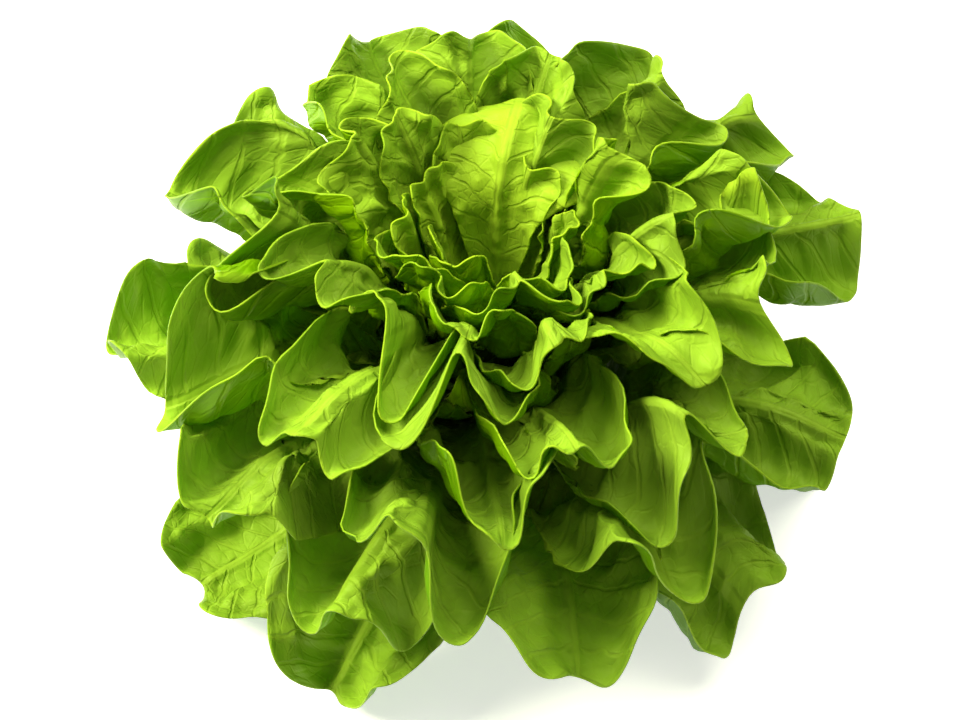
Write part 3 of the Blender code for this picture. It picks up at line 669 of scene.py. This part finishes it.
def leaf_material(slot):
    deep, bright, edge = LEAF_COLOURS[slot]
    nodes = Nodes(slot + "_tissue")
    place, (x, y, inward) = nodes.attribute("blade")
    _, (tone, along, under) = nodes.attribute("look")
    shift = nodes.add("ShaderNodeCombineXYZ", {2: tone}).outputs[0]
    seeded = nodes.add("ShaderNodeVectorMath", {0: place, 1: shift}, operation="ADD").outputs[0]
    across = nodes.math("ABSOLUTE", x)
    cloud = nodes.noise(seeded, 45.0, 3.0)
    fine = nodes.noise(seeded, 420.0, 3.0)
    wander = nodes.math("MULTIPLY", nodes.math("SUBTRACT", nodes.noise(seeded, 90.0), 0.5), 0.006)
    lateral = nodes.math("SUBTRACT", y, nodes.math("MULTIPLY", across, VEIN_SLOPE))
    lateral = nodes.math("DIVIDE", nodes.math("ADD", lateral, wander), VEIN_SPACING)
    branch = nodes.math("PINGPONG", lateral, 0.5)
    branch = nodes.ramp(branch, 0.02, 0.10, 1.0, 0.0)
    cells = nodes.add("ShaderNodeTexVoronoi", {"Vector": seeded, "Scale": 190.0}, feature="DISTANCE_TO_EDGE")
    cells = cells.outputs["Distance"]
    puffs = nodes.add("ShaderNodeTexVoronoi", {"Vector": seeded, "Scale": 150.0, "Smoothness": 0.8},
                      feature="SMOOTH_F1").outputs["Distance"]
    mesh_vein = nodes.ramp(cells, 0.0, 0.10, 1.0, 0.0)
    rib_width = nodes.ramp(along, 0.2, 1.0, 0.0026, 0.0008)
    rib = nodes.ramp(nodes.math("DIVIDE", across, rib_width), 0.5, 1.4, 1.0, 0.0)
    branch = nodes.math("MULTIPLY", branch, 0.55)
    veins = nodes.math("MAXIMUM", branch, nodes.math("MULTIPLY", mesh_vein, 0.18))
    veins = nodes.math("MAXIMUM", veins, nodes.math("MULTIPLY", rib, 0.8))

    shade = nodes.math("ADD", nodes.math("MULTIPLY", tone, 0.5), nodes.math("MULTIPLY", cloud, 0.9))
    colour = nodes.mix(nodes.ramp(shade, 0.25, 1.05), deep, bright)
    colour = nodes.mix(nodes.ramp(fine, 0.3, 0.7, 0.0, 0.22), colour, bright)
    colour = nodes.mix(nodes.math("MULTIPLY", veins, 0.35), colour, edge)
    pale = nodes.mix(0.50, colour, (0.36, 0.54, 0.045))
    colour = nodes.mix(under, colour, pale)
    foot = nodes.ramp(along, 0.02, 0.28, 0.70, 0.0)
    colour = nodes.mix(foot, colour, (0.50, 0.62, 0.26))
    # the margin band in the pale edge colour: the leaf's paler margin, with a painted highlight where the
    # rims catch the light
    rim = nodes.ramp(inward, 0.0001, 0.0007, 0.75, 0.0)
    rim = nodes.math("MULTIPLY", rim, nodes.ramp(cloud, 0.35, 0.60, 0.25, 1.0))
    colour = nodes.mix(rim, colour, edge)

    rough = nodes.math("ADD", nodes.ramp(cloud, 0.3, 0.7, 0.28, 0.46), nodes.math("MULTIPLY", under, 0.16))
    height = nodes.math("SUBTRACT", nodes.math("MULTIPLY", puffs, -1.5), nodes.math("MULTIPLY", veins, 0.5))
    height = nodes.math("ADD", height, nodes.math("MULTIPLY", fine, 0.25))
    bump = nodes.add("ShaderNodeBump", {"Strength": 0.9, "Distance": 0.0014, "Height": height})
    glow = nodes.mix(0.55, colour, (0.30, 0.62, 0.02))
    surface = nodes.add("ShaderNodeBsdfPrincipled", {
        "Base Color": colour, "Roughness": rough, "Normal": bump.outputs[0], "IOR": 1.42,
        "Specular IOR Level": 0.34, "Specular Tint": (0.80, 1.0, 0.30)})
    through = nodes.add("ShaderNodeBsdfTranslucent", {"Color": glow, "Normal": bump.outputs[0]})
    both = nodes.add("ShaderNodeMixShader", {0: 0.30, 1: surface.outputs[0], 2: through.outputs[0]})
    nodes.add("ShaderNodeOutputMaterial", {0: both.outputs[0]})
    return nodes.material


def stem_material():
    nodes = Nodes("cut_stem")
    place = nodes.add("ShaderNodeTexCoord").outputs["Object"]
    split = nodes.add("ShaderNodeSeparateXYZ", {0: place}).outputs
    radius = nodes.math("SQRT", nodes.math("ADD", nodes.math("MULTIPLY", split[0], split[0]),
                                           nodes.math("MULTIPLY", split[1], split[1])))
    cloud = nodes.noise(place, 160.0, 4.0)
    colour = nodes.mix(nodes.ramp(cloud, 0.3, 0.7), (0.62, 0.68, 0.36), (0.78, 0.80, 0.56))
    ring = nodes.math("ADD", radius, nodes.math("MULTIPLY", cloud, 0.003))
    ring = nodes.math("PINGPONG", nodes.math("DIVIDE", ring, 0.0035), 0.5)
    colour = nodes.mix(nodes.ramp(ring, 0.05, 0.2, 0.35, 0.0), colour, (0.44, 0.50, 0.20))
    bruise = nodes.ramp(nodes.noise(place, 90.0, 3.0), 0.55, 0.75, 0.0, 0.5)
    colour = nodes.mix(bruise, colour, (0.40, 0.25, 0.10))
    bump = nodes.add("ShaderNodeBump", {"Strength": 0.6, "Distance": 0.0008, "Height": cloud})
    surface = nodes.add("ShaderNodeBsdfPrincipled", {
        "Base Color": colour, "Roughness": nodes.ramp(cloud, 0.3, 0.7, 0.35, 0.6), "Normal": bump.outputs[0]})
    nodes.add("ShaderNodeOutputMaterial", {0: surface.outputs[0]})
    return nodes.material


def make_stem():
    """The stem with the scars and ribs of the leaves that grew from it."""
    sides = 96
    rings = 60
    turn = np.linspace(0.0, 2.0 * math.pi, sides, endpoint=False)
    outline = [(0.0, 0.0), (0.0128, 0.0), (0.0143, 0.0008), (0.0146, 0.0030), (0.0142, 0.0120)]
    for lean in np.radians(np.linspace(132.0, 2.0, 30)):
        outline.append((CROWN_RADIUS * math.sin(lean), CROWN_HEIGHT + CROWN_RADIUS * math.cos(lean)))
    outline = np.array(outline)
    length = np.append(0.0, np.cumsum(np.linalg.norm(np.diff(outline, axis=0), axis=1)))
    place = np.linspace(0.0, length[-1], rings)
    radius = np.interp(place, length, outline[:, 0])[:, None] * np.ones(sides)
    height = np.interp(place, length, outline[:, 1])[:, None] * np.ones(sides)
    ridge = np.sin(8.0 * turn[None, :] + 120.0 * height) * np.clip((height - 0.003) / 0.01, 0.0, 1.0)
    radius = radius * (1.0 - 0.02 - 0.02 * ridge)
    backward = DEPTH_SCALE * radius * np.sin(turn) + lean_back(height)
    verts = np.stack([radius * np.cos(turn), backward, height], axis=-1)
    verts = verts.reshape(-1, 3)
    faces = []
    for ring in range(1, rings - 1):
        for side in range(sides):
            after = (side + 1) % sides
            faces.append((ring * sides + side, ring * sides + after,
                          (ring + 1) * sides + after, (ring + 1) * sides + side))
    faces.append([sides + side for side in reversed(range(sides))])
    faces.append([(rings - 1) * sides + side for side in range(sides)])
    kept = verts[sides:]
    faces = [[corner - sides for corner in face] for face in faces]
    mesh = bpy.data.meshes.new("stem_body")
    mesh.from_pydata(kept.tolist(), [], faces)
    mesh.shade_smooth()
    mesh.set_sharp_from_angle(angle=math.radians(50))
    mesh.materials.append(stem_material())
    obj = bpy.data.objects.new("stem_body", mesh)
    bpy.context.scene.collection.objects.link(obj)
    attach(obj, "root")
    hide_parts("stem")


# ---- studio ----
def add_light(name, place, target, size, power, colour):
    light = bpy.data.lights.new(name, "AREA")
    light.shape = "DISK"
    light.size = size
    light.energy = power
    light.color = colour
    obj = bpy.data.objects.new(name, light)
    obj.location = place
    obj.rotation_euler = (Vector(target) - Vector(place)).to_track_quat("-Z", "Y").to_euler()
    bpy.context.scene.collection.objects.link(obj)


def make_studio():
    scene = bpy.context.scene
    nodes = Nodes("pale_paper")
    place = nodes.add("ShaderNodeTexCoord").outputs["Object"]
    tone = nodes.mix(nodes.noise(place, 3.0), (0.88, 0.87, 0.86), (0.93, 0.93, 0.93))
    surface = nodes.add("ShaderNodeBsdfPrincipled", {
        "Base Color": tone, "Roughness": 0.9, "Emission Color": (0.98, 0.98, 1.0), "Emission Strength": 0.55})
    nodes.add("ShaderNodeOutputMaterial", {0: surface.outputs[0]})
    mesh = bpy.data.meshes.new("floor")
    mesh.from_pydata([(-3, -3, 0), (3, -3, 0), (3, 3, 0), (-3, 3, 0)], [], [(0, 1, 2, 3)])
    mesh.materials.append(nodes.material)
    floor = bpy.data.objects.new("floor", mesh)
    scene.collection.objects.link(floor)
    world = bpy.data.worlds.new("studio")
    world.use_nodes = True
    world.node_tree.nodes["Background"].inputs[0].default_value = (1.0, 0.99, 0.80, 1.0)
    world.node_tree.nodes["Background"].inputs[1].default_value = 0.28
    scene.world = world
    add_light("window", (-0.75, 0.15, 0.75), (0, 0, 0.06), 0.55, 28.0, (1.0, 0.97, 0.72))
    add_light("ceiling", (0.25, 0.35, 1.10), (0, 0, 0.06), 0.8, 15.0, (1.0, 1.0, 0.78))
    scene.view_settings.view_transform = "Standard"


CAMERA_ELEVATION = 63.0
CAMERA_DISTANCE = 0.550
CAMERA_TARGET = (-0.003, -0.004, 0.060)
LENS = 56.0


def make_camera():
    data = bpy.data.cameras.new("camera")
    data.lens = LENS
    data.clip_start = 0.01
    camera = bpy.data.objects.new("camera", data)
    raised = math.radians(CAMERA_ELEVATION)
    back = Vector((0.0, -math.cos(raised), math.sin(raised)))
    camera.location = Vector(CAMERA_TARGET) + back * CAMERA_DISTANCE
    camera.rotation_euler = (-back).to_track_quat("-Z", "Y").to_euler()
    bpy.context.scene.collection.objects.link(camera)
    bpy.context.scene.camera = camera


def main():
    make_camera()
    make_studio()
    make_stem()
    fan = Fan()
    pressed = PressedLeaves(fan)
    materials = {slot: leaf_material(slot) for slot in LEAF_COLOURS}
    for rank, leaf in enumerate(LEAVES):
        make_leaf(leaf, rank, fan, pressed, materials[leaf.name.rsplit("_", 1)[0]])


main()
